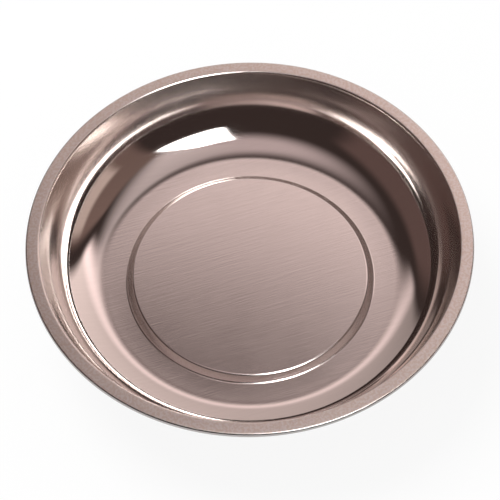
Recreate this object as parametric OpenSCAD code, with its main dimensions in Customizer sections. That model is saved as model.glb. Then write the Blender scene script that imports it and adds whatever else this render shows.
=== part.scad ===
// Round magnetic parts tray: a pressed steel dish on a clamped ring magnet with a rubber foot.
// Millimetres. The origin is the middle of the foot's underside, +Z points up out of the dish.

/* [Dish] */
// Outer diameter of the rim
tray_d = 150; // [135:1:180]
// Depth from the top of the rim to the floor
dish_depth = 23.5; // [20:0.1:32]
// Thickness of the sheet steel
sheet_t = 0.6; // [0.4:0.05:0.9]
// Height of the rim's turned-down edge
edge_h = 1.5; // [1.1:0.1:4]
// Inner radius of the bend of the turned-down edge
edge_in_r = 0.15; // [0.05:0.05:0.4]
// Width of the rim, from the outer edge to its inner bend
rim_w = 3.9; // [3:0.1:7]
// Slope of the rim, down to its outer edge, in degrees
rim_slope = 4; // [1:0.5:8]
// Radius of the bend from the rim into the wall
rim_bend_r = 1; // [0.9:0.1:2.5]
// Slope of the wall below the rim, in degrees
wall_slope = 76; // [62:1:84]
// Radius of the wall's upper curve
wall_curve_r = 26; // [18:0.5:32]
// Slope where the wall's upper curve meets the floor fillet, in degrees
curve_slope = 50; // [40:1:58]
// Radius of the fillet between the wall and the floor
floor_fillet_r = 18; // [10:0.5:22]
// Width of the flat floor ring round the plateau
floor_w = 6.9; // [4:0.1:8]

/* [Plateau] */
// Height of the plateau above the floor ring
plateau_h = 2.4; // [1.5:0.1:3.5]
// Slope of the plateau's side, in degrees
plateau_slope = 50; // [40:1:65]
// Radius of the bends at the foot and the top of that side
plateau_bend_r = 1.2; // [1:0.1:1.5]

/* [Magnet] */
// Height of the ring magnet
magnet_h = 8; // [7:0.5:12]
// Bore of the ring magnet
magnet_bore_d = 32; // [29:0.5:40]
// Chamfer on the magnet's outer edges
magnet_chamfer = 0.5; // [0.2:0.1:1]
// Thickness of the foam pad between the magnet and the dish
pad_t = 1; // [0.6:0.1:2]

/* [Keeper plate] */
// Thickness of the keeper plate
plate_t = 1.2; // [0.8:0.1:1.5]
// How far the plate's edge stands back from the magnet's edge
plate_inset = 1; // [0.5:0.1:3]
// Slope of the side of the nut well, in degrees
well_slope = 75; // [65:1:85]
// Radius of the bend at the mouth of the nut well
well_mouth_r = 1.5; // [1:0.1:2]
// Radius of the bend at the top of the nut well
well_top_r = 1.9; // [1.6:0.1:2.5]
// How far the top of the nut well stays below the magnet's top
well_drop = 1.1; // [0.5:0.1:2]

/* [Rubber boot] */
// Thickness of the boot's side
boot_wall = 2.5; // [1.5:0.1:4]
// Thickness of the boot's sole
boot_sole = 1.5; // [1.2:0.1:3]
// How far the boot's lip reaches over the magnet's top
boot_lip_w = 3.5; // [2:0.1:6]
// Rounding of the sole's outer edge
boot_round_r = 1.2; // [0.5:0.1:1.4]
// Number of round grip grooves in the sole
groove_count = 5; // [1:1:6]
// Radius of a grip groove
groove_r = 0.7; // [0.3:0.1:0.9]

/* [Fasteners] */
// Thread diameter of the weld stud
stud_d = 5; // [4:0.5:6]
// Diameter of the stud's weld flange
stud_flange_d = 6.5; // [6.4:0.1:8]
// Height of the stud's weld flange
stud_flange_h = 0.8; // [0.5:0.1:1.2]
// How far the stud stands out of the nut
stud_proud = 0.7; // [0.3:0.1:1]
// Outer diameter of the flat washer
washer_d = 10; // [9:0.5:14]
// Thickness of the flat washer
washer_t = 1; // [0.6:0.1:1.6]
// Width of the nut across its flats
nut_w = 8; // [7.5:0.5:10]
// Height of the nut's hexagon
nut_hex_h = 3.2; // [2.5:0.1:3.6]
// Height of the nut's collar, which holds the nylon ring
nut_collar_h = 1.8; // [1.4:0.1:2]
// Wall of the nut's collar
nut_collar_wall = 0.5; // [0.4:0.05:0.7]
// Height of the nylon ring
nylon_h = 1.3; // [1:0.1:1.4]
// Wall of the nylon ring
nylon_wall = 0.95; // [0.6:0.05:1.1]
// How far the collar's lip reaches over the nylon ring
nut_lip_w = 0.4; // [0.2:0.05:0.5]

/* [Fits] */
// Gap between the boot's side and the edge of the plateau's recess
boot_gap = 1; // [0.5:0.1:2]
// Gap between the magnet and the boot's side
magnet_fit = 0.1; // [0.05:0.05:0.3]
// Gap between the nut well and the magnet's bore
well_fit = 0.5; // [0.3:0.1:1]
// Gap between the pad and the boot's lip
pad_fit = 0.3; // [0.1:0.1:0.6]
// Gap between the mouth of the nut well and the opening in the boot's sole
sole_fit = 1.5; // [0.5:0.1:3]
// Gap between the stud and the holes in the plate and the washer
hole_fit = 0.25; // [0.15:0.05:0.4]
// Gap between the stud's thread and the nut
thread_fit = 0.05; // [0.02:0.01:0.1]

/* [Hidden] */
$fn = 128;

// How far a cut runs past the face that it opens
overrun = 1;
// Turn between the points along a bend, in degrees
bend_step = 7;
// Chamfer of the stud's end and of the nut's corners, as shares of the stud's radius and the nut's width
stud_chamfer_share = 0.2;
nut_chamfer_share = 0.06;

// Heights of the stack, from the foot up
plate_top = boot_sole + plate_t;
magnet_top = plate_top + magnet_h;
recess_z = magnet_top + pad_t;
plateau_z = recess_z + sheet_t;
floor_z = plateau_z - plateau_h;
rim_z = floor_z + dish_depth;

// Heights of the clamp, from the nut well down
well_top = magnet_top - well_drop;
washer_z = well_top - plate_t - washer_t;
nut_hex_z = washer_z - nut_hex_h;
nut_z = nut_hex_z - nut_collar_h;
stud_z = nut_z - stud_proud;

// Height that a bend of radius r takes up between two slopes
function bend_rise(r, a, b) = r * abs(cos(a) - cos(b));

// A sheet's path runs inwards along its top face. A state is [radius, height, downward slope].
// A move is ["to_height", z], ["to_radius", r], ["across", width] or ["bend", radius, slope].
function straight(s, l) = [s[0] - l * cos(s[2]), s[1] - l * sin(s[2]), s[2]];
function turned(s, r, a) = let (way = sign(a - s[2]))
    [s[0] - way * r * (sin(a) - sin(s[2])), s[1] + way * r * (cos(a) - cos(s[2])), a];
function bent(s, r, a) = let (n = ceil(abs(a - s[2]) / bend_step))
    [for (k = [1:n]) turned(s, r, s[2] + (a - s[2]) * k / n)];
function moved(s, m) =
    m[0] == "to_height" ? [straight(s, (s[1] - m[1]) / sin(s[2]))] :
    m[0] == "to_radius" ? [straight(s, (s[0] - m[1]) / cos(s[2]))] :
    m[0] == "across" ? [straight(s, m[1] / cos(s[2]))] :
    bent(s, m[1], m[2]);
function path(s, moves, k = 0) = k == len(moves) ? [s] :
    let (next = moved(s, moves[k]), last = len(next) - 1)
    concat([s], [for (i = [0:1:last - 1]) next[i]], path(next[last], moves, k + 1));

// A point of the sheet, at a depth below the top face of one state
function sheet_point(s, depth) = [s[0] + depth * sin(s[2]), s[1] - depth * cos(s[2])];

// A pressed sheet of thickness t, turned about the axis
module pressing(path, t) {
    last = len(path) - 1;
    top = [for (s = path) sheet_point(s, 0)];
    under = [for (k = [last:-1:0]) sheet_point(path[k], t)];
    rotate_extrude() polygon(concat(top, under));
}

// A plain ring standing on height z
module ring(z, h, r_out, r_in) {
    translate([0, 0, z]) difference() {
        cylinder(h = h, r = r_out);
        translate([0, 0, -overrun]) cylinder(h = h + 2 * overrun, r = r_in);
    }
}

// The rim falls from its top, next to the wall, to the top of the turned-down edge
edge_r = sheet_t + edge_in_r;
rim_run = rim_w - edge_r * (1 - sin(rim_slope));
edge_z = rim_z - bend_rise(rim_bend_r, rim_slope, 0) - rim_run * tan(rim_slope);

// Height where the wall's upper curve meets the floor fillet
fillet_z = floor_z + bend_rise(floor_fillet_r, curve_slope, 0);

// Path of the dish, from the turned-down edge to the axis
dish_start = [tray_d / 2, edge_z - edge_h, -90];
dish_moves = [
    ["to_height", edge_z - bend_rise(edge_r, 90, rim_slope)],
    ["bend", edge_r, -rim_slope],
    ["to_radius", tray_d / 2 - rim_w],
    ["bend", rim_bend_r, wall_slope],
    ["to_height", fillet_z + bend_rise(wall_curve_r, wall_slope, curve_slope)],
    ["bend", wall_curve_r, curve_slope],
    ["bend", floor_fillet_r, 0],
    ["across", floor_w],
    ["bend", plateau_bend_r, -plateau_slope],
    ["to_height", plateau_z - bend_rise(plateau_bend_r, plateau_slope, 0)],
    ["bend", plateau_bend_r, 0],
    ["to_radius", 0]
];

dish_path = path(dish_start, dish_moves);

// The recess under the plateau takes the boot, and the boot takes the magnet
recess_r = dish_path[len(dish_path) - 2][0];
boot_r = recess_r - boot_gap;
boot_in_r = boot_r - boot_wall;
boot_lip_r = boot_in_r - boot_lip_w;
magnet_r = boot_in_r - magnet_fit;
bore_r = magnet_bore_d / 2;
mouth_r = bore_r - well_fit;
sole_r = mouth_r + sole_fit;
hole_r = stud_d / 2 + hole_fit;
thread_r = stud_d / 2 + thread_fit;

// Path of the keeper plate, from its edge up into the well and in to its hole
plate_start = [magnet_r - plate_inset, plate_top, 0];
plate_moves = [
    ["to_radius", mouth_r],
    ["bend", well_mouth_r, -well_slope],
    ["to_height", well_top - bend_rise(well_top_r, well_slope, 0)],
    ["bend", well_top_r, 0],
    ["to_radius", hole_r]
];

// Rows of grip grooves, spread evenly over the sole
groove_pitch = (boot_r - boot_round_r - sole_r) / (groove_count + 1);

// Sizes of the nut
nut_corner_r = nut_w / 2 / cos(30);
nut_chamfer = nut_chamfer_share * nut_w;
nylon_r = thread_r + nylon_wall;
nut_collar_r = nylon_r + nut_collar_wall;

module dish() {
    color([0.8, 0.71, 0.68]) pressing(dish_path, sheet_t);
}

module weld_stud() {
    chamfer = stud_chamfer_share * stud_d / 2;
    color([0.72, 0.45, 0.3]) rotate_extrude() polygon([
        [0, stud_z],
        [stud_d / 2 - chamfer, stud_z],
        [stud_d / 2, stud_z + chamfer],
        [stud_d / 2, recess_z - stud_flange_h],
        [stud_flange_d / 2, recess_z - stud_flange_h],
        [stud_flange_d / 2, recess_z],
        [0, recess_z]
    ]);
}

module cushion_pad() {
    color([0.16, 0.16, 0.17]) ring(magnet_top, pad_t, boot_lip_r - pad_fit, bore_r);
}

module ring_magnet() {
    color([0.2, 0.2, 0.21]) rotate_extrude() polygon([
        [bore_r, plate_top],
        [magnet_r - magnet_chamfer, plate_top],
        [magnet_r, plate_top + magnet_chamfer],
        [magnet_r, magnet_top - magnet_chamfer],
        [magnet_r - magnet_chamfer, magnet_top],
        [bore_r, magnet_top]
    ]);
}

module keeper_plate() {
    color([0.75, 0.74, 0.7]) pressing(path(plate_start, plate_moves), plate_t);
}

// The boot's section: sole, side and lip, with a rounded edge and round grooves
module boot_section() {
    difference() {
        union() {
            translate([sole_r, 0]) square([boot_r - sole_r, boot_sole]);
            translate([boot_in_r, 0]) square([boot_wall, recess_z]);
            translate([boot_lip_r, magnet_top]) square([boot_r - boot_lip_r, pad_t]);
        }
        difference() {
            translate([boot_r - boot_round_r, -overrun])
                square([boot_round_r + overrun, boot_round_r + overrun]);
            translate([boot_r - boot_round_r, boot_round_r]) circle(boot_round_r);
        }
        for (k = [1:groove_count]) translate([sole_r + k * groove_pitch, 0]) circle(groove_r);
    }
}

module rubber_boot() {
    color([0.1, 0.1, 0.1]) rotate_extrude() boot_section();
}

module flat_washer() {
    color([0.78, 0.77, 0.74]) ring(washer_z, washer_t, washer_d / 2, hole_r);
}

// The hexagon, with its corners turned off at both ends, and a round collar below it
module lock_nut() {
    color([0.78, 0.77, 0.72]) difference() {
        union() {
            intersection() {
                translate([0, 0, nut_hex_z]) cylinder(h = nut_hex_h, r = nut_corner_r, $fn = 6);
                rotate_extrude() polygon([
                    [0, nut_hex_z],
                    [nut_corner_r - nut_chamfer, nut_hex_z],
                    [nut_corner_r, nut_hex_z + nut_chamfer / 2],
                    [nut_corner_r, washer_z - nut_chamfer / 2],
                    [nut_corner_r - nut_chamfer, washer_z],
                    [0, washer_z]
                ]);
            }
            rotate_extrude() polygon([
                [0, nut_z],
                [nylon_r, nut_z],
                [nut_collar_r, nut_z + nut_collar_wall],
                [nut_collar_r, nut_hex_z],
                [0, nut_hex_z]
            ]);
        }
        translate([0, 0, nut_z - overrun])
            cylinder(h = washer_z - nut_z + 2 * overrun, r = thread_r);
        translate([0, 0, nut_z - overrun])
            cylinder(h = nut_collar_h + overrun, r = nylon_r - nut_lip_w);
        translate([0, 0, nut_hex_z - nylon_h]) cylinder(h = nylon_h, r = nylon_r);
    }
}

module nylon_ring() {
    color([0.2, 0.35, 0.75]) ring(nut_hex_z - nylon_h, nylon_h, nylon_r, thread_r);
}

dish();
weld_stud();
cushion_pad();
ring_magnet();
keeper_plate();
rubber_boot();
flat_washer();
lock_nut();
nylon_ring();
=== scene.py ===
"""Looks of a round magnetic parts tray: a pressed steel dish on a clamped ring magnet with a rubber foot.

Lengths are in metres and angles in radians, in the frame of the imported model.
"""

import math

import bmesh
import bpy
from bpy.props import FloatProperty, FloatVectorProperty, IntProperty, PointerProperty
from bpy.types import NodeSocket, Operator, Panel, PropertyGroup
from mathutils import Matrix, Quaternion, Vector


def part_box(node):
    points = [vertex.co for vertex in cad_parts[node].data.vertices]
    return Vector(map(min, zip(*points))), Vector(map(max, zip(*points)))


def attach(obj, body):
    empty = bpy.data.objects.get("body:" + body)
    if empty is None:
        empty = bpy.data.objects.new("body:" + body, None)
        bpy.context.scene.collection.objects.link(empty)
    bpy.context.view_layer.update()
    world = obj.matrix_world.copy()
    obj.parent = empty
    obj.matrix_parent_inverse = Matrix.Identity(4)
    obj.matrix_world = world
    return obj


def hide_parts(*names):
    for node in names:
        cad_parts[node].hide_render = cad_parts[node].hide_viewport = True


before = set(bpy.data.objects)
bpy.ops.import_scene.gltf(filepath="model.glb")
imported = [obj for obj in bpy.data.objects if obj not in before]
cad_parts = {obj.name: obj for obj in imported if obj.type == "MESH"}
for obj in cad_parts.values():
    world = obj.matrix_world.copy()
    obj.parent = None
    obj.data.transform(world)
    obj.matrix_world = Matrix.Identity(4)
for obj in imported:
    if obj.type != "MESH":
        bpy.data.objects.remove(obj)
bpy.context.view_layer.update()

bl_info = {
    "name": "Magnetic Parts Tray",
    "version": (1, 0, 0),
    "blender": (4, 5, 0),
    "location": "3D View > Sidebar > Parts Tray",
    "description": "Builds the looks of a pressed steel parts tray round its packed model",
    "category": "Add Mesh",
}

BODY = "root"
MM = 0.001
TURN = 2 * math.pi
# Points nearer than this are one point, and points this near to the axis lie on it
WELD = 1e-7
ON_AXIS = 1e-9
# Faces that meet at less than this are shaded smooth
SMOOTH_BELOW = math.radians(40)
STUD_SMOOTH_BELOW = math.radians(50)
NUT_SMOOTH_BELOW = math.radians(25)

BOXES = {node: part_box(node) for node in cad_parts}


def reach(node):
    """Outer radius of a round node."""
    return BOXES[node][1].x


def foot(node):
    """Lowest height of a node."""
    return BOXES[node][0].z


def top(node):
    """Highest height of a node."""
    return BOXES[node][1].z


def length(name, description, millimetres):
    """A length property, with its default in millimetres."""
    return FloatProperty(
        name=name, description=description, default=millimetres * MM, unit="LENGTH", precision=5
    )


def angle(name, description, degrees):
    """An angle property, with its default in degrees."""
    return FloatProperty(
        name=name, description=description, default=math.radians(degrees), subtype="ANGLE"
    )


def share(name, description, default):
    """A plain factor from 0 to 1."""
    return FloatProperty(
        name=name, description=description, default=default, min=0, max=1, subtype="FACTOR"
    )


def colour(name, description, default):
    """A linear colour property."""
    return FloatVectorProperty(
        name=name, description=description, default=default, size=3, min=0, max=1, subtype="COLOR"
    )


class DishSizes(PropertyGroup):
    """Section of the pressed dish, from its edge to its middle."""

    sheet: length("Sheet", "Thickness of the sheet steel", 0.6)
    edge_height: length("Edge height", "Height of the rim's turned-down edge", 1.5)
    edge_bend: length("Edge bend", "Outer radius of the turned-down edge", 0.75)
    edge_break: length("Edge break", "Rounding of the sheet's cut edge", 0.12)
    rim_width: length("Rim width", "From the outer edge to the rim's inner bend", 3.9)
    rim_slope: angle("Rim slope", "Slope of the rim, down to its outer edge", 4)
    rim_bend: length("Rim bend", "Radius of the bend from the rim into the wall", 1)
    wall_slope: angle("Wall slope", "Slope of the wall below the rim", 76)
    wall_curve: length("Wall curve", "Radius of the wall's upper curve", 26)
    curve_slope: angle("Curve slope", "Slope where the wall's two curves meet", 50)
    floor_fillet: length("Floor fillet", "Radius of the wall's lower curve, down to the floor", 18)
    floor_width: length("Floor width", "Flat floor ring round the plateau", 6.9)
    depth: length("Depth", "From the top of the rim to the floor", 23.5)
    plateau_height: length("Plateau height", "Height of the plateau above the floor", 2.4)
    plateau_slope: angle("Plateau slope", "Slope of the plateau's side", 50)
    plateau_bend: length("Plateau bend", "Radius at the foot and top of that side", 1.2)
    segments: IntProperty(name="Segments", description="Steps round the axis", default=256, min=32)
    bend_step: angle("Bend step", "Turn between two points of a bend", 3)


class FootSizes(PropertyGroup):
    """Sections of the rubber boot and the keeper plate."""

    boot_wall: length("Boot wall", "Thickness of the boot's side", 2.5)
    boot_sole: length("Boot sole", "Thickness of the boot's sole", 1.5)
    boot_lip: length("Boot lip", "How far the lip reaches inwards from the boot's side", 3.5)
    boot_round: length("Sole rounding", "Rounding of the sole's outer edge", 1.2)
    boot_break: length("Boot edges", "Rounding of the boot's other edges", 0.25)
    sole_opening: length("Sole opening", "Radius of the opening in the sole", 17)
    groove_count: IntProperty(name="Grooves", description="Round grip grooves in the sole", default=5, min=1)
    groove: length("Groove", "Radius of a grip groove", 0.7)
    groove_break: length("Groove edges", "Rounding of a groove's edges", 0.15)
    bead_height: length("Bead height", "Height of the mould's parting line on the boot's side", 4.5)
    bead: length("Bead", "How far the parting line stands out", 0.06)
    plate: length("Plate", "Thickness of the keeper plate", 1.2)
    plate_break: length("Plate edges", "Rounding of the keeper plate's cut edges", 0.22)
    well_mouth: length("Well mouth", "Radius of the well at its mouth", 15.5)
    well_slope: angle("Well slope", "Slope of the well's side", 75)
    well_mouth_bend: length("Mouth bend", "Radius of the bend at the well's mouth", 1.5)
    well_top_bend: length("Top bend", "Radius of the bend at the well's top", 1.9)
    hole: length("Hole", "Radius of the hole for the stud", 2.75)
    segments: IntProperty(name="Segments", description="Steps round the axis", default=192, min=32)
    bend_step: angle("Bend step", "Turn between two points of a bend", 6)


class ClampSizes(PropertyGroup):
    """Stud, nut, nylon ring and washer."""

    stud_radius: length("Stud radius", "Radius of the thread's crest", 2.5)
    pitch: length("Pitch", "Rise of the thread in one turn", 0.8)
    thread_depth: length("Thread depth", "From the thread's crest to its root", 0.47)
    stud_chamfer: length("Stud chamfer", "Chamfer of the stud's end", 0.5)
    run_out: length("Run-out", "Length over which the thread ends below the flange", 1.2)
    flange: length("Flange", "Height of the stud's weld flange", 0.8)
    washer_break: length("Washer edges", "Rounding of the washer's edges", 0.2)
    hole: length("Hole", "Radius of the washer's hole", 2.75)
    flats: length("Across flats", "Width of the nut across its flats", 8)
    hexagon: length("Hexagon", "Height of the nut's hexagon", 3.2)
    corner_cut: length("Corner cut", "Cone on the nut's corners", 0.48)
    nut_break: length("Nut edges", "Rounding of the nut's edges", 0.12)
    collar: length("Collar", "Outer radius of the nut's collar", 4)
    collar_wall: length("Collar wall", "Wall of the nut's collar", 0.5)
    bore: length("Bore", "Radius of the nut's bore", 2.55)
    lip_hole: length("Lip hole", "Radius of the opening in the collar's lip", 3.1)
    nylon_break: length("Nylon edges", "Rounding of the nylon ring's edges", 0.15)
    segments: IntProperty(name="Segments", description="Steps round the axis", default=96, min=24)


class SteelFinish(PropertyGroup):
    """Finish of the dish's stainless sheet."""

    tint: colour("Tint", "Colour of the steel", (0.8, 0.74, 0.71))
    grain_turn: angle("Grain direction", "Turn of the brushed grain from the X axis", 18)
    grain_depth: length("Grain depth", "Depth of the brushed strokes", 0.017)
    stroke_length: length("Stroke length", "Length of a brushed stroke", 11)
    stroke_width: length("Stroke width", "Width of a brushed stroke", 0.34)
    stroke_shade: share("Stroke shade", "Brightness of the tint in a stroke", 0.89)
    rim_stroke_length: length("Rim stroke length", "Length of a stroke across the rim", 2.5)
    rim_stroke_width: length("Rim stroke width", "Width of a stroke across the rim", 0.3)
    floor_end: length("Floor end", "Radius where the brushed floor begins to end", 48)
    wall_start: length("Wall start", "Radius where the polished wall has begun", 53)
    wall_end: length("Wall end", "Radius where the polished wall begins to end", 63)
    upper_start: length("Upper start", "Radius where the satin upper wall has begun", 69)
    upper_end: length("Upper end", "Radius where the upper wall begins to end", 70.2)
    rim_start: length("Rim start", "Radius where the rim's finish has begun", 71.2)
    wall_grain: share("Wall grain", "Depth of the strokes left on the polished wall", 0.06)
    upper_grain: share("Upper grain", "Depth of the strokes left on the upper wall", 0.45)
    patch_size: length("Patch size", "Size of the patches of uneven roughness", 12)
    patch_change: share("Patch change", "Change of the roughness in a patch", 0.03)
    speck_size: length("Speck size", "Size of the dull specks on the rim", 0.9)
    floor_roughness: share("Floor roughness", "Roughness of the brushed floor", 0.2)
    wall_roughness: share("Wall roughness", "Roughness of the polished lower wall", 0.06)
    upper_roughness: share("Upper roughness", "Roughness of the upper wall", 0.17)
    rim_roughness: share("Rim roughness", "Roughness of the rim", 0.38)
    rim_tint: colour("Rim tint", "Colour of the rim's dull specks", (0.74, 0.65, 0.59))
    outside_tint: colour("Outside tint", "Colour of the sheet's duller outside", (0.46, 0.435, 0.425))
    outside_roughness: share("Outside roughness", "Roughness of the outside", 0.24)


class StageSizes(PropertyGroup):
    """Camera and light."""

    distance: length("Camera distance", "From the camera to the middle of the rim", 900)
    elevation: angle("Camera elevation", "Height of the camera above the horizon", 56.07)
    roll: angle("Camera roll", "Turn of the camera about its own axis", -0.97)
    lens: FloatProperty(name="Lens", description="Focal length", default=193.95, subtype="DISTANCE_CAMERA")
    shift_x: FloatProperty(name="Shift X", description="Sideways shift of the lens", default=0.0008)
    shift_y: FloatProperty(name="Shift Y", description="Upward shift of the lens", default=-0.0214)
    tent_radius: length("Tent radius", "From the tray to the studio's tent", 2000)
    floor_radius: length("Floor radius", "Radius of the pale floor", 8000)
    fill: FloatProperty(name="Fill", description="Strength of the surroundings on matt pieces", default=0.6)
    lamp: FloatProperty(name="Lamp", description="Power of the soft lamp", default=14, unit="POWER")
    lamp_size: length("Lamp size", "Width of the soft lamp", 800)
    floor_glow: share("Floor glow", "How much of the floor's white is plain, without shadow", 0.89)


# Node helpers


def place(tree, kind, inputs=None, **settings):
    """Adds a node. Its inputs are values, or sockets to link."""
    node = tree.nodes.new(kind)
    for name, value in settings.items():
        setattr(node, name, value)
    for name, value in (inputs or {}).items():
        if isinstance(value, NodeSocket):
            tree.links.new(value, node.inputs[name])
        else:
            node.inputs[name].default_value = value
    return node


def calc(tree, operation, a, b=0.0):
    """A Math node's result."""
    return place(tree, "ShaderNodeMath", {0: a, 1: b}, operation=operation).outputs[0]


def ramp(tree, value, low, high, start=0.0, end=1.0):
    """A value eased from start to end as it goes from low to high."""
    inputs = {"Value": value, "From Min": low, "From Max": high, "To Min": start, "To Max": end}
    return place(tree, "ShaderNodeMapRange", inputs, interpolation_type="SMOOTHSTEP").outputs[0]


def blend(tree, factor, a, b):
    """A value between a and b."""
    return place(tree, "ShaderNodeMix", {0: factor, 2: a, 3: b}, data_type="FLOAT").outputs[0]


def tinted(tree, factor, a, b):
    """A colour between a and b."""
    return place(tree, "ShaderNodeMix", {0: factor, 6: a, 7: b}, data_type="RGBA").outputs[2]


def opaque(rgb):
    """A linear colour with full alpha."""
    return (*rgb, 1.0)


def group(name, inputs, outputs):
    """An empty shader group with named sockets: its tree, input sockets and output node."""
    tree = bpy.data.node_groups.new(name, "ShaderNodeTree")
    for socket, (kind, value) in inputs.items():
        made = tree.interface.new_socket(socket, in_out="INPUT", socket_type=kind)
        if value is not None:
            made.default_value = value
    for socket, kind in outputs.items():
        tree.interface.new_socket(socket, in_out="OUTPUT", socket_type=kind)
    return tree, tree.nodes.new("NodeGroupInput").outputs, tree.nodes.new("NodeGroupOutput")


def use(tree, name, inputs=None):
    """Places a shader group in a material and returns its outputs."""
    return place(tree, "ShaderNodeGroup", inputs, node_tree=bpy.data.node_groups[name]).outputs


FLOAT = "NodeSocketFloat"
VECTOR = "NodeSocketVector"
# Scale of the fine and the broad set of strokes, and the broad set's share
STROKE_SPREADS = (1.0, 3.1)
BROAD_SHARE = 0.4
STROKE_DETAIL = 2.0
CLOUD_DETAIL = 3.0
# Noise values between which a patch grows from nothing to full
PATCH_EDGES = (0.3, 0.7)


def round_place_group():
    """Radius, turn and height of a point, about the tray's axis."""
    outputs = {"Place": VECTOR, "Radius": FLOAT, "Turn": FLOAT, "Height": FLOAT}
    tree, _, out = group("Round place", {}, outputs)
    place_out = tree.nodes.new("ShaderNodeTexCoord").outputs["Object"]
    axes = place(tree, "ShaderNodeSeparateXYZ", {0: place_out}).outputs
    squares = calc(tree, "ADD", calc(tree, "POWER", axes[0], 2), calc(tree, "POWER", axes[1], 2))
    tree.links.new(place_out, out.inputs["Place"])
    tree.links.new(calc(tree, "SQRT", squares), out.inputs["Radius"])
    tree.links.new(calc(tree, "ARCTAN2", axes[1], axes[0]), out.inputs["Turn"])
    tree.links.new(axes[2], out.inputs["Height"])


def strokes_group():
    """Fine strokes along X of a place, with a broad and a fine set."""
    inputs = {"Place": (VECTOR, None), "Length": (FLOAT, 10 * MM), "Width": (FLOAT, 0.3 * MM)}
    tree, given, out = group("Strokes", inputs, {"Height": FLOAT})
    sets = []
    for spread in STROKE_SPREADS:
        size = place(
            tree,
            "ShaderNodeCombineXYZ",
            {
                0: calc(tree, "MULTIPLY", given["Length"], spread),
                1: calc(tree, "MULTIPLY", given["Width"], spread),
                2: given["Length"],
            },
        ).outputs[0]
        scaled = place(
            tree, "ShaderNodeVectorMath", {0: given["Place"], 1: size}, operation="DIVIDE"
        ).outputs[0]
        noise = {"Vector": scaled, "Scale": 1.0, "Detail": STROKE_DETAIL}
        sets.append(place(tree, "ShaderNodeTexNoise", noise).outputs[0])
    fine, broad = sets
    tree.links.new(blend(tree, BROAD_SHARE, fine, broad), out.inputs["Height"])


def clouds_group():
    """Soft patches of a given size, from 0 to 1."""
    inputs = {"Place": (VECTOR, None), "Size": (FLOAT, 10 * MM)}
    tree, given, out = group("Clouds", inputs, {"Amount": FLOAT})
    scale = calc(tree, "DIVIDE", 1.0, given["Size"])
    inputs = {"Vector": given["Place"], "Scale": scale, "Detail": CLOUD_DETAIL}
    noise = place(tree, "ShaderNodeTexNoise", inputs).outputs[0]
    tree.links.new(ramp(tree, noise, *PATCH_EDGES), out.inputs["Amount"])


def finish_groups():
    """Builds the shader groups that several finishes share."""
    round_place_group()
    strokes_group()
    clouds_group()


def material(name, **constants):
    """A new material: its node tree and its Principled shader, with the given constant sockets."""
    made = bpy.data.materials.new(name)
    made.use_nodes = True
    shader = made.node_tree.nodes["Principled BSDF"]
    for socket, value in constants.items():
        shader.inputs[socket.replace("_", " ")].default_value = value
    return made, made.node_tree, shader


def feed(tree, shader, **sockets):
    """Links sockets to a shader's inputs."""
    for name, socket in sockets.items():
        tree.links.new(socket, shader.inputs[name.replace("_", " ")])


def bump(tree, height, distance):
    """A normal bumped by a height from 0 to 1 over a distance."""
    inputs = {"Height": height, "Distance": distance, "Strength": 1.0}
    return place(tree, "ShaderNodeBump", inputs).outputs[0]


def clouds(tree, spot, size):
    """Soft patches round a place."""
    return use(tree, "Clouds", {"Place": spot["Place"], "Size": size})["Amount"]


def strokes(tree, where, stroke_length, stroke_width):
    """Height of fine strokes along X of a place."""
    return use(tree, "Strokes", {"Place": where, "Length": stroke_length, "Width": stroke_width})["Height"]


def steel():
    """Brushed stainless sheet: straight grain on the floor, a polished wall, and satin above it."""
    finish = bpy.context.scene.tray_steel
    made, tree, shader = material("stainless_sheet", Metallic=1.0)
    spot = use(tree, "Round place")
    radius = spot["Radius"]

    # The blank's X and Y are places in the flat sheet, and its Z is 1 on the outside
    blank = place(tree, "ShaderNodeAttribute", attribute_name="blank").outputs["Vector"]
    outside = place(tree, "ShaderNodeSeparateXYZ", {"Vector": blank}).outputs["Z"]
    floor = ramp(tree, radius, finish.floor_end, finish.wall_start, 1.0, 0.0)
    upper = ramp(tree, radius, finish.wall_end, finish.upper_start)
    rim = ramp(tree, radius, finish.upper_end, finish.rim_start)

    turned = {"Vector": blank, "Angle": -finish.grain_turn}
    along = place(tree, "ShaderNodeVectorRotate", turned, rotation_type="Z_AXIS").outputs[0]
    grain = strokes(tree, along, finish.stroke_length, finish.stroke_width)
    round_rim = calc(tree, "MULTIPLY", spot["Turn"], reach("dish"))
    rim_place = place(tree, "ShaderNodeCombineXYZ", {0: radius, 1: round_rim}).outputs[0]
    rim_grain = strokes(tree, rim_place, finish.rim_stroke_length, finish.rim_stroke_width)
    lines = blend(tree, rim, grain, rim_grain)
    brushed = calc(tree, "MAXIMUM", floor, calc(tree, "MULTIPLY", upper, finish.upper_grain))
    brushed = calc(tree, "MAXIMUM", brushed, finish.wall_grain)
    brushed = calc(tree, "MAXIMUM", brushed, outside)
    height = calc(tree, "MULTIPLY", lines, brushed)

    roughness = blend(tree, floor, finish.wall_roughness, finish.floor_roughness)
    roughness = blend(tree, upper, roughness, finish.upper_roughness)
    roughness = blend(tree, rim, roughness, finish.rim_roughness)
    roughness = blend(tree, outside, roughness, finish.outside_roughness)
    patches = clouds(tree, spot, finish.patch_size)
    change = ramp(tree, patches, 0.0, 1.0, 1 - finish.patch_change, 1 + finish.patch_change)
    roughness = calc(tree, "MULTIPLY", roughness, change)

    inner, outer = (
        tinted(tree, lines, opaque([finish.stroke_shade * c for c in tint]), opaque(tint))
        for tint in (finish.tint, finish.outside_tint)
    )
    specks = ramp(tree, clouds(tree, spot, finish.speck_size), *PATCH_EDGES)
    dull = tinted(tree, specks, opaque(finish.rim_tint), opaque(finish.tint))
    shade = tinted(tree, outside, tinted(tree, rim, inner, dull), outer)
    feed(
        tree,
        shader,
        Base_Color=shade,
        Roughness=roughness,
        Normal=bump(tree, height, finish.grain_depth),
    )
    return made


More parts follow.
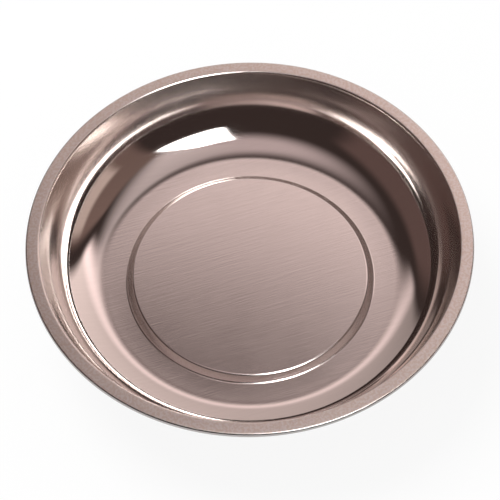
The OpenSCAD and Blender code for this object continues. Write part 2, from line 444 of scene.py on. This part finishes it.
def rubber():
    """Black moulded rubber with a fine mould texture and a little dust."""
    made, tree, shader = material("boot_rubber")
    spot = use(tree, "Round place")
    patches = clouds(tree, spot, 6 * MM)
    fine = clouds(tree, spot, 0.25 * MM)
    feed(
        tree,
        shader,
        Base_Color=tinted(tree, patches, (0.014, 0.014, 0.015, 1), (0.026, 0.025, 0.025, 1)),
        Roughness=ramp(tree, patches, 0, 1, 0.48, 0.64),
        Normal=bump(tree, fine, 0.02 * MM),
    )
    return made


def zinc(name, roughness):
    """Pale zinc plating with soft clouds and fine rolling marks."""
    made, tree, shader = material(name, Metallic=1.0)
    spot = use(tree, "Round place")
    patches = clouds(tree, spot, 5 * MM)
    marks = strokes(tree, spot["Place"], 4 * MM, 0.12 * MM)
    feed(
        tree,
        shader,
        Base_Color=tinted(tree, patches, (0.52, 0.53, 0.53, 1), (0.68, 0.68, 0.66, 1)),
        Roughness=ramp(tree, patches, 0, 1, 0.85 * roughness, 1.2 * roughness),
        Normal=bump(tree, marks, 0.006 * MM),
    )
    return made


def coppered():
    """Copper-plated steel, darker in the thread's root and blued next to the weld."""
    made, tree, shader = material("coppered_steel", Metallic=1.0)
    clamp = bpy.context.scene.tray_clamp
    spot = use(tree, "Round place")
    patches = clouds(tree, spot, 1.5 * MM)
    # Share of the dark colour in the thread's root: the copper is darkened towards the root, from the crest
    # down
    root_darkening, heat_reach = 0.55, 2.5 * MM
    crest = clamp.stud_radius
    root = ramp(tree, spot["Radius"], crest - clamp.thread_depth, crest, root_darkening, 0.0)
    heat = ramp(tree, spot["Height"], top("weld_stud") - heat_reach, top("weld_stud"))
    copper = tinted(tree, patches, (0.52, 0.24, 0.13, 1), (0.68, 0.34, 0.2, 1))
    # The copper darkened towards the thread's root
    root_darkened = tinted(tree, root, copper, (0.16, 0.08, 0.05, 1))
    feed(
        tree,
        shader,
        Base_Color=tinted(tree, heat, root_darkened, (0.12, 0.1, 0.13, 1)),
        Roughness=ramp(tree, patches, 0, 1, 0.26, 0.4),
    )
    return made


def nylon():
    """Blue nylon, a little translucent."""
    made, tree, shader = material("blue_nylon", Subsurface_Weight=0.15, Subsurface_Scale=0.5 * MM)
    spot = use(tree, "Round place")
    patches = clouds(tree, spot, 1 * MM)
    feed(
        tree,
        shader,
        Base_Color=tinted(tree, patches, (0.02, 0.07, 0.36, 1), (0.035, 0.11, 0.46, 1)),
        Roughness=ramp(tree, patches, 0, 1, 0.36, 0.48),
    )
    return made


def ferrite():
    """Dark sintered ferrite with grinding marks."""
    made, tree, shader = material("sintered_ferrite")
    spot = use(tree, "Round place")
    patches = clouds(tree, spot, 8 * MM)
    marks = strokes(tree, spot["Place"], 9 * MM, 0.3 * MM)
    feed(
        tree,
        shader,
        Base_Color=tinted(tree, patches, (0.025, 0.025, 0.027, 1), (0.05, 0.05, 0.053, 1)),
        Roughness=ramp(tree, marks, *PATCH_EDGES, 0.34, 0.6),
        Normal=bump(tree, marks, 0.02 * MM),
    )
    return made


def foam():
    """Closed-cell foam with fine cells."""
    made, tree, shader = material("pad_foam", Roughness=0.92)
    spot = use(tree, "Round place")
    cell = 0.35 * MM
    inputs = {"Vector": spot["Place"], "Scale": 1 / cell}
    cells = place(tree, "ShaderNodeTexVoronoi", inputs).outputs[0]
    feed(
        tree,
        shader,
        Base_Color=tinted(tree, cells, (0.02, 0.02, 0.021, 1), (0.06, 0.06, 0.062, 1)),
        Normal=bump(tree, cells, 0.08 * MM),
    )
    return made


# Mesh helpers


class Section:
    """The section of a pressed sheet: points along its top face, inwards, each with its downward slope."""

    def __init__(self, radius, height, slope, bend_step):
        self.points = [(radius, height, slope)]
        self.bend_step = bend_step

    def go(self, distance):
        """Runs straight on."""
        radius, height, slope = self.points[-1]
        end = (radius - distance * math.cos(slope), height - distance * math.sin(slope), slope)
        self.points.append(end)
        return self

    def to_height(self, target):
        """Runs straight on to a height."""
        _, height, slope = self.points[-1]
        return self.go((height - target) / math.sin(slope))

    def to_radius(self, target):
        """Runs straight on to a radius."""
        radius, _, slope = self.points[-1]
        return self.go((radius - target) / math.cos(slope))

    def across(self, width):
        """Runs straight on over a width in plan."""
        return self.go(width / math.cos(self.points[-1][2]))

    def bend(self, bend_radius, slope):
        """Bends to a new slope."""
        radius, height, start = self.points[-1]
        way = math.copysign(1, slope - start)
        steps = math.ceil(abs(slope - start) / self.bend_step)
        for k in range(1, steps + 1):
            now = start + (slope - start) * k / steps
            self.points.append(
                (
                    radius - way * bend_radius * (math.sin(now) - math.sin(start)),
                    height + way * bend_radius * (math.cos(now) - math.cos(start)),
                    now,
                )
            )
        return self

    def face(self, depth):
        """Points at a depth below the top face."""
        return [(r + depth * math.sin(a), z - depth * math.cos(a)) for r, z, a in self.points]


def bend_rise(radius, a, b):
    """Height that a bend takes up between two slopes."""
    return radius * abs(math.cos(a) - math.cos(b))


def turn_outline(name, outline_at, segments):
    """A closed mesh from an outline of (radius, height) points, given for each turn about the axis."""
    rings = [outline_at(TURN * k / segments) for k in range(segments)]
    count = len(rings[0])
    verts, index = [], {}
    for k, ring in enumerate(rings):
        spin = TURN * k / segments
        for i, (r, z) in enumerate(ring):
            if r < ON_AXIS and k > 0:
                index[k, i] = index[0, i]
                continue
            index[k, i] = len(verts)
            verts.append((r * math.cos(spin), r * math.sin(spin), z))
    faces = []
    for k in range(segments):
        following = (k + 1) % segments
        for i in range(count):
            j = (i + 1) % count
            corners = [index[k, i], index[following, i], index[following, j], index[k, j]]
            face = [c for n, c in enumerate(corners) if c != corners[n - 1]]
            if len(set(face)) > 2:
                faces.append(face)
    mesh = bpy.data.meshes.new(name)
    mesh.from_pydata(verts, [], faces)
    mesh.validate()
    return mesh


def rounded(corners, steps=5):
    """An outline from (radius, height, rounding) corners, each rounded by an arc."""
    outline = []
    for k, (radius, height, rounding) in enumerate(corners):
        here = Vector((radius, height))
        if rounding == 0:
            outline.append(tuple(here))
            continue
        before = (Vector(corners[k - 1][:2]) - here).normalized()
        after = (Vector(corners[(k + 1) % len(corners)][:2]) - here).normalized()
        half = before.angle(after) / 2
        middle = here + (before + after).normalized() * (rounding / math.sin(half))
        start = here + before * (rounding / math.tan(half)) - middle
        end = here + after * (rounding / math.tan(half)) - middle
        sweep = math.pi - 2 * half
        for n in range(steps + 1):
            t = n / steps
            arc = start * math.sin((1 - t) * sweep) + end * math.sin(t * sweep)
            outline.append(tuple(middle + arc / math.sin(sweep)))
    return outline


def plain(points):
    """Corners without rounding."""
    return [(r, z, 0) for r, z in points]


def sheet_corners(section, thickness, edge_break, open_middle):
    """Corners of a pressed sheet's outline, with its cut edges rounded."""
    upper, under = plain(section.face(0)), plain(section.face(thickness))
    for face in (upper, under):
        face[0] = (*face[0][:2], edge_break)
        if open_middle:
            face[-1] = (*face[-1][:2], edge_break)
    return upper + under[::-1]


def show(name, mesh, finish, nodes, smooth_below=SMOOTH_BELOW):
    """Puts a mesh on the tray in place of CAD nodes."""
    mesh.shade_smooth()
    mesh.set_sharp_from_angle(angle=smooth_below)
    mesh.materials.append(finish)
    piece = bpy.data.objects.new(name, mesh)
    bpy.context.scene.collection.objects.link(piece)
    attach(piece, BODY)
    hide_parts(*nodes)
    return piece


def dish_section(dish):
    """The dish's section, from its edge to its middle."""
    rim_radius, rim_top = reach("dish"), top("dish")
    floor = rim_top - dish.depth
    plateau = floor + dish.plateau_height
    rim_run = dish.rim_width - dish.edge_bend * (1 - math.sin(dish.rim_slope))
    edge_top = rim_top - bend_rise(dish.rim_bend, dish.rim_slope, 0) - rim_run * math.tan(dish.rim_slope)
    section = Section(rim_radius, edge_top - dish.edge_height, -math.pi / 2, dish.bend_step)
    section.to_height(edge_top - bend_rise(dish.edge_bend, math.pi / 2, dish.rim_slope))
    section.bend(dish.edge_bend, -dish.rim_slope)
    section.to_radius(rim_radius - dish.rim_width).bend(dish.rim_bend, dish.wall_slope)
    curve_foot = floor + bend_rise(dish.floor_fillet, dish.curve_slope, 0)
    section.to_height(curve_foot + bend_rise(dish.wall_curve, dish.wall_slope, dish.curve_slope))
    section.bend(dish.wall_curve, dish.curve_slope)
    section.bend(dish.floor_fillet, 0).across(dish.floor_width)
    section.bend(dish.plateau_bend, -dish.plateau_slope)
    section.to_height(plateau - bend_rise(dish.plateau_bend, dish.plateau_slope, 0))
    section.bend(dish.plateau_bend, 0).to_radius(0)
    return section


def blank_radii(points):
    """Radius that each point of a section had in the flat blank, which has the same area inside it."""
    radii, square = [0.0], 0.0
    for (r0, z0), (r1, z1) in zip(points[::-1], points[-2::-1]):
        square += (r0 + r1) * math.hypot(r1 - r0, z1 - z0)
        radii.append(math.sqrt(square))
    return radii[::-1]


def blank_places(dish, section, outline):
    """For each point of the turned dish, its place in the flat blank, and 1 on the outside or 0 inside."""
    flat = blank_radii(section.face(0))
    # Points that the rounding of the cut edge adds to each face
    extra = (len(outline) - 2 * len(flat)) // 2
    inner_end = extra + len(flat)
    edge = reach("dish") - dish.edge_bend / 2
    outside = [float(i >= inner_end or r > edge) for i, (r, _) in enumerate(outline)]
    flat = [flat[0]] * extra + flat + flat[::-1] + [flat[0]] * extra
    places = []
    for k in range(dish.segments):
        spin = TURN * k / dish.segments
        for i, (r, _) in enumerate(outline):
            if r < ON_AXIS and k > 0:
                continue
            places.append((flat[i] * math.cos(spin), flat[i] * math.sin(spin), outside[i]))
    return places


class TRAY_OT_dish(Operator):
    """Turns the pressed dish and gives it its brushed finish"""

    bl_idname = "tray.dish"
    bl_label = "Dish"

    def execute(self, context):
        dish = context.scene.tray_dish
        section = dish_section(dish)
        outline = rounded(sheet_corners(section, dish.sheet, dish.edge_break, False))
        mesh = turn_outline("dish_sheet", lambda turn: outline, dish.segments)
        blank = mesh.attributes.new("blank", "FLOAT_VECTOR", "POINT")
        for item, value in zip(blank.data, blank_places(dish, section, outline)):
            item.vector = value
        show("dish_sheet", mesh, steel(), ["dish"])
        return {"FINISHED"}


class TRAY_OT_foot(Operator):
    """Moulds the rubber boot, presses the keeper plate, and dresses the magnet and its pad"""

    bl_idname = "tray.foot"
    bl_label = "Foot"

    def execute(self, context):
        sizes = context.scene.tray_foot
        boot = rounded(boot_corners(sizes))
        mesh = turn_outline("boot", lambda turn: boot, sizes.segments)
        show("boot", mesh, rubber(), ["rubber_boot"])

        plate = Section(reach("keeper_plate"), foot("keeper_plate") + sizes.plate, 0, sizes.bend_step)
        plate.to_radius(sizes.well_mouth).bend(sizes.well_mouth_bend, -sizes.well_slope)
        plate.to_height(top("keeper_plate") - bend_rise(sizes.well_top_bend, sizes.well_slope, 0))
        plate.bend(sizes.well_top_bend, 0).to_radius(sizes.hole)
        outline = rounded(sheet_corners(plate, sizes.plate, sizes.plate_break, True))
        mesh = turn_outline("plate", lambda turn: outline, sizes.segments)
        show("plate", mesh, zinc("zinc_plate", roughness=0.34), ["keeper_plate"])

        for node, finish in (("ring_magnet", ferrite()), ("cushion_pad", foam())):
            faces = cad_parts[node].data
            faces.materials.clear()
            faces.materials.append(finish)
        return {"FINISHED"}


def boot_corners(sizes):
    """Corners of the boot's section: sole with round grooves, side with a parting line, and lip."""
    outer, height = reach("rubber_boot"), top("rubber_boot")
    inner = outer - sizes.boot_wall
    lip = inner - sizes.boot_lip
    under_lip = top("ring_magnet")
    corners = [(sizes.sole_opening, 0, sizes.boot_break)]
    pitch = (outer - sizes.boot_round - sizes.sole_opening) / (sizes.groove_count + 1)
    arc_steps = 8
    for k in range(1, sizes.groove_count + 1):
        middle = sizes.sole_opening + k * pitch
        for n in range(arc_steps + 1):
            turn = math.pi * (1 - n / arc_steps)
            edge = sizes.groove_break if n in (0, arc_steps) else 0
            corners.append((middle + sizes.groove * math.cos(turn), sizes.groove * math.sin(turn), edge))
    corners.append((outer, 0, sizes.boot_round))
    bead, half_bead = sizes.bead_height, 2 * sizes.bead
    corners += plain([(outer, bead - half_bead), (outer + sizes.bead, bead), (outer, bead + half_bead)])
    corners += [(outer, height, sizes.boot_break), (lip, height, sizes.boot_break)]
    corners += plain([(lip, under_lip), (inner, under_lip), (inner, sizes.boot_sole)])
    corners.append((sizes.sole_opening, sizes.boot_sole, sizes.boot_break))
    return corners


def hexagon_radius(turn, flats):
    """Radius of a hexagon at a turn from one of its corners."""
    sixth = TURN / 6
    return flats / 2 / math.cos(turn % sixth - sixth / 2)


def nut_outline(sizes, turn):
    """The lock nut's section at a turn about its axis."""
    low, high = foot("lock_nut"), top("lock_nut")
    under = high - sizes.hexagon
    seat = foot("nylon_ring")
    across = hexagon_radius(turn, sizes.flats)
    tip = hexagon_radius(0, sizes.flats)
    cut = min(across, tip - sizes.corner_cut)
    drop = (across - cut) / 2
    return [
        (sizes.bore, high),
        (sizes.bore, top("nylon_ring")),
        (reach("nylon_ring"), top("nylon_ring")),
        (reach("nylon_ring"), seat),
        (sizes.lip_hole, seat),
        (sizes.lip_hole, low + sizes.nut_break),
        (sizes.lip_hole + sizes.nut_break, low),
        (sizes.collar - sizes.collar_wall, low),
        (sizes.collar - sizes.collar_wall / 4, low + sizes.collar_wall / 3),
        (sizes.collar, low + sizes.collar_wall),
        (sizes.collar, under),
        (cut - sizes.nut_break, under),
        (cut, under + sizes.nut_break / 2),
        (across, under + sizes.nut_break / 2 + drop),
        (across, high - sizes.nut_break / 2 - drop),
        (cut, high - sizes.nut_break / 2),
        (cut - sizes.nut_break, high),
    ]


def stud_mesh(sizes, flange_radius):
    """The weld stud: a helical thread below a round flange."""
    low, high = foot("weld_stud"), top("weld_stud")
    shank_top = high - sizes.flange
    rows = 8
    total = math.ceil((shank_top - low) / sizes.pitch) * rows
    crest, root = 1 / 8, 5 / 8

    def thread_radius(phase, height):
        rise = abs((phase % 1.0) - 0.5) * 2
        depth = sizes.thread_depth * min(1.0, max(0.0, (rise - crest) / (root - crest)))
        depth *= min(1.0, (shank_top - height) / sizes.run_out)
        return min(sizes.stud_radius - depth, sizes.stud_radius - sizes.stud_chamfer + height - low)

    verts, faces = [], []
    columns = sizes.segments + 1
    for k in range(columns):
        turn = k / sizes.segments
        column = [(0.0, low)]
        for i in range(-rows, total + 1):
            height = min(shank_top, max(low, low + (i / rows + turn) * sizes.pitch))
            column.append((thread_radius(i / rows, height), height))
        column += [
            (flange_radius - sizes.nut_break, shank_top),
            (flange_radius, shank_top + sizes.nut_break),
            (flange_radius, high),
            (0.0, high),
        ]
        for r, z in column:
            verts.append((r * math.cos(TURN * turn), r * math.sin(TURN * turn), z))
    count = len(column)
    for k in range(sizes.segments):
        for i in range(count - 1):
            a, b = k * count + i, (k + 1) * count + i
            faces.append((a, b, b + 1, a + 1))
    mesh = bpy.data.meshes.new("stud")
    mesh.from_pydata(verts, [], faces)
    work = bmesh.new()
    work.from_mesh(mesh)
    bmesh.ops.remove_doubles(work, verts=work.verts, dist=WELD)
    bmesh.ops.dissolve_degenerate(work, edges=work.edges, dist=WELD)
    bmesh.ops.recalc_face_normals(work, faces=work.faces)
    work.to_mesh(mesh)
    work.free()
    return mesh


def ring_outline(node, bore, edge):
    """Section of a flat ring with rounded edges, in a node's box."""
    low, high, outer = foot(node), top(node), reach(node)
    return rounded([(bore, low, edge), (outer, low, edge), (outer, high, edge), (bore, high, edge)])


class TRAY_OT_clamp(Operator):
    """Builds the stud with its thread, the lock nut with its nylon ring, and the washer"""

    bl_idname = "tray.clamp"
    bl_label = "Clamp"

    def execute(self, context):
        sizes = context.scene.tray_clamp
        stud = stud_mesh(sizes, reach("weld_stud"))
        show("stud", stud, coppered(), ["weld_stud"], STUD_SMOOTH_BELOW)

        plated = zinc("zinc_fasteners", roughness=0.26)
        nut = turn_outline("nut", lambda turn: nut_outline(sizes, turn), sizes.segments)
        show("nut", nut, plated, ["lock_nut"], NUT_SMOOTH_BELOW)

        washer = ring_outline("flat_washer", sizes.hole, sizes.washer_break)
        mesh = turn_outline("washer", lambda turn: washer, sizes.segments)
        show("washer", mesh, plated, ["flat_washer"])

        ring = ring_outline("nylon_ring", sizes.bore, sizes.nylon_break)
        mesh = turn_outline("locking_ring", lambda turn: ring, sizes.segments)
        show("locking_ring", mesh, nylon(), ["nylon_ring"])
        return {"FINISHED"}


# Stage

# Panels of the tent, painted in this order: name, middle azimuth, half width, lowest, highest, soft edge,
# tint, strength at the left and at the right. Angles are in degrees, and azimuth 0 is behind the tray,
# 90 to its right
PANELS = [
    ("ceiling", 0, 180, 70, 120, 26, (1.0, 0.8, 0.79), 0.58, 0.58),
    ("right_ceiling", 68, 56, 63, 84, 20, (1.0, 0.84, 0.82), 0.55, 0.7),
    ("left_side", -88, 40, 4, 48, 16, (1.0, 0.63, 0.57), 0.13, 0.13),
    ("right_side", 94, 28, -20, 56, 8, (1.0, 0.66, 0.57), 0.22, 0.18),
    ("right_wall", 88, 18, 8, 28, 8, (1.0, 0.78, 0.69), 0.6, 0.6),
    ("back_panel", 9, 46, -20, 56, 7, (1.0, 0.83, 0.79), 0.34, 1.08),
    ("back_strip", 9, 46, 48, 55.3, 10, (1.0, 0.81, 0.79), 0.78, 1.7),
    ("side_softbox", 145, 20, 48, 75, 5, (1.0, 1.0, 1.0), 12.0, 12.0),
]
TENT_DARK = (0.045, 0.031, 0.028)
# A panel of less than this half width is a flat wall, seen as one up to this far from its middle
FLAT_HALF = 90
FLAT_ASIDE = 85
FLOOR_SEGMENTS = 96
FLOOR_COLOUR = (0.92, 0.92, 0.92)
WHITE = (1.0, 1.0, 1.0)
LAMP_PLACE = Vector((-0.6, 0.5, 1.3))


def light_path_seen(tree):
    """1 for rays that show the surroundings: from the camera, off gloss or through glass."""
    path = tree.nodes.new("ShaderNodeLightPath").outputs
    seen = calc(tree, "MAXIMUM", path["Is Camera Ray"], path["Is Glossy Ray"])
    return calc(tree, "MAXIMUM", seen, path["Is Transmission Ray"])


def white_world(stage):
    """White surroundings for the eye and for gloss, and a soft fill on matt surfaces."""
    world = bpy.data.worlds.new("studio")
    bpy.context.scene.world = world
    world.use_nodes = True
    tree = world.node_tree
    background = tree.nodes["Background"]
    background.inputs["Color"].default_value = opaque(WHITE)
    tree.links.new(blend(tree, light_path_seen(tree), stage.fill, 1.0), background.inputs["Strength"])


def pale_floor(stage):
    """A pale floor that keeps the tray's shadow and can be looked through from below."""
    spins = [TURN * k / FLOOR_SEGMENTS for k in range(FLOOR_SEGMENTS)]
    verts = [(stage.floor_radius * math.cos(spin), stage.floor_radius * math.sin(spin), 0) for spin in spins]
    mesh = bpy.data.meshes.new("floor")
    mesh.from_pydata(verts, [], [list(range(FLOOR_SEGMENTS))])
    floor = bpy.data.objects.new("floor", mesh)
    bpy.context.scene.collection.objects.link(floor)
    finish = bpy.data.materials.new("pale_floor")
    finish.use_nodes = True
    tree = finish.node_tree
    tree.nodes.clear()
    matt = place(tree, "ShaderNodeBsdfDiffuse", {"Color": opaque(FLOOR_COLOUR)}).outputs[0]
    white = place(tree, "ShaderNodeEmission", {"Color": opaque(WHITE), "Strength": 1.0}).outputs[0]
    clear = place(tree, "ShaderNodeBsdfTransparent").outputs[0]
    glow = calc(tree, "MULTIPLY", light_path_seen(tree), stage.floor_glow)
    above = place(tree, "ShaderNodeMixShader", {0: glow, 1: matt, 2: white}).outputs[0]
    below = tree.nodes.new("ShaderNodeNewGeometry").outputs["Backfacing"]
    whole = place(tree, "ShaderNodeMixShader", {0: below, 1: above, 2: clear}).outputs[0]
    place(tree, "ShaderNodeOutputMaterial", {"Surface": whole})
    mesh.materials.append(finish)
    floor.visible_diffuse = False
    floor.visible_shadow = False


def eased(distance, soft):
    """0 well outside an edge and 1 well inside it, over a soft width."""
    inside = min(1.0, max(0.0, 0.5 + distance / soft))
    return inside * inside * (3 - 2 * inside)


def tent_colour(azimuth, elevation):
    """Colour of the tent in a direction, in degrees."""
    now = Vector(TENT_DARK)
    for _, middle, half, lowest, highest, soft, tint, left, right in PANELS:
        aside = (azimuth - middle + 180) % 360 - 180
        height = elevation
        if half < FLAT_HALF and abs(aside) < FLAT_ASIDE:
            rise = math.tan(math.radians(elevation)) / math.cos(math.radians(aside))
            height = math.degrees(math.atan(rise))
        cover = eased(height - lowest, soft) * eased(highest - height, soft)
        if half < 180:
            cover *= eased(half - abs(aside), soft)
        strength = left + (right - left) * min(1.0, max(0.0, (aside + half) / (2 * half)))
        now = now.lerp(strength * Vector(tint), cover)
    return now


def tent(stage):
    """A dome of soft-edged panels that shows only in the gloss of the tray."""
    step, lowest, highest = 2, -10, 89.9
    columns, rows = 360 // step, round((highest - lowest) / step)
    verts, colours = [], []
    for j in range(rows + 1):
        elevation = lowest + (highest - lowest) * j / rows
        for i in range(columns):
            azimuth = i * step
            el, az = math.radians(elevation), math.radians(azimuth)
            aim = Vector((math.cos(el) * math.sin(az), math.cos(el) * math.cos(az), math.sin(el)))
            verts.append(aim * stage.tent_radius + Vector((0, 0, top("dish"))))
            colours.append(tent_colour(azimuth, elevation))
    faces = []
    for j in range(rows):
        for i in range(columns):
            here, beside = j * columns + i, j * columns + (i + 1) % columns
            faces.append((here, beside, beside + columns, here + columns))
    mesh = bpy.data.meshes.new("tent")
    mesh.from_pydata(verts, [], faces)
    paint = mesh.attributes.new("paint", "FLOAT_COLOR", "POINT")
    for item, rgb in zip(paint.data, colours):
        item.color = opaque(rgb)
    dome = bpy.data.objects.new("tent", mesh)
    bpy.context.scene.collection.objects.link(dome)
    finish = bpy.data.materials.new("tent")
    finish.use_nodes = True
    tree = finish.node_tree
    tree.nodes.clear()
    painted = place(tree, "ShaderNodeAttribute", attribute_name="paint").outputs["Color"]
    glow = place(tree, "ShaderNodeEmission", {"Color": painted, "Strength": 1.0}).outputs[0]
    place(tree, "ShaderNodeOutputMaterial", {"Surface": glow})
    mesh.materials.append(finish)
    dome.visible_camera = False
    dome.visible_diffuse = False
    dome.visible_shadow = False
    dome.visible_transmission = False


def soft_lamp(stage):
    """One soft lamp above and behind the tray's left."""
    data = bpy.data.lights.new("soft_lamp", "AREA")
    data.size = stage.lamp_size
    data.energy = stage.lamp
    lamp = bpy.data.objects.new("soft_lamp", data)
    lamp.location = LAMP_PLACE
    lamp.rotation_euler = (-LAMP_PLACE).to_track_quat("-Z", "Y").to_euler()
    lamp.visible_glossy = False
    bpy.context.scene.collection.objects.link(lamp)


def camera(stage):
    """The camera at the photograph's viewing angle."""
    data = bpy.data.cameras.new("camera")
    data.lens = stage.lens
    data.shift_x, data.shift_y = stage.shift_x, stage.shift_y
    eye = bpy.data.objects.new("camera", data)
    middle = Vector((0, 0, top("dish")))
    back = Vector((0, -math.cos(stage.elevation), math.sin(stage.elevation)))
    eye.location = middle + back * stage.distance
    eye.rotation_mode = "QUATERNION"
    eye.rotation_quaternion = (-back).to_track_quat("-Z", "Y") @ Quaternion((0, 0, 1), stage.roll)
    bpy.context.scene.collection.objects.link(eye)
    bpy.context.scene.camera = eye


class TRAY_OT_stage(Operator):
    """Sets the floor, the surroundings, the lamp, the tent and the camera"""

    bl_idname = "tray.stage"
    bl_label = "Stage"

    def execute(self, context):
        stage = context.scene.tray_stage
        context.scene.view_settings.view_transform = "Standard"
        white_world(stage)
        pale_floor(stage)
        tent(stage)
        soft_lamp(stage)
        camera(stage)
        return {"FINISHED"}


class TRAY_PT_sidebar(Panel):
    """Lists the tray's sizes and builders"""

    bl_idname = "TRAY_PT_sidebar"
    bl_label = "Parts Tray"
    bl_space_type = "VIEW_3D"
    bl_region_type = "UI"
    bl_category = "Parts Tray"

    def draw(self, context):
        for operator in OPERATORS:
            self.layout.operator(operator.bl_idname)
        for name, kind in SETTINGS.items():
            box = self.layout.box()
            for item in kind.__annotations__:
                box.prop(getattr(context.scene, name), item)


SETTINGS = {
    "tray_dish": DishSizes,
    "tray_foot": FootSizes,
    "tray_clamp": ClampSizes,
    "tray_steel": SteelFinish,
    "tray_stage": StageSizes,
}
OPERATORS = [TRAY_OT_stage, TRAY_OT_dish, TRAY_OT_foot, TRAY_OT_clamp]


def register():
    for made in (*SETTINGS.values(), *OPERATORS, TRAY_PT_sidebar):
        bpy.utils.register_class(made)
    for name, kind in SETTINGS.items():
        setattr(bpy.types.Scene, name, PointerProperty(type=kind))


def unregister():
    for name in SETTINGS:
        delattr(bpy.types.Scene, name)
    for made in (TRAY_PT_sidebar, *OPERATORS[::-1], *list(SETTINGS.values())[::-1]):
        bpy.utils.unregister_class(made)


def main():
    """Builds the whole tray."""
    register()
    finish_groups()
    bpy.ops.tray.stage()
    bpy.ops.tray.dish()
    bpy.ops.tray.foot()
    bpy.ops.tray.clamp()


if __name__ == "__main__":
    main()
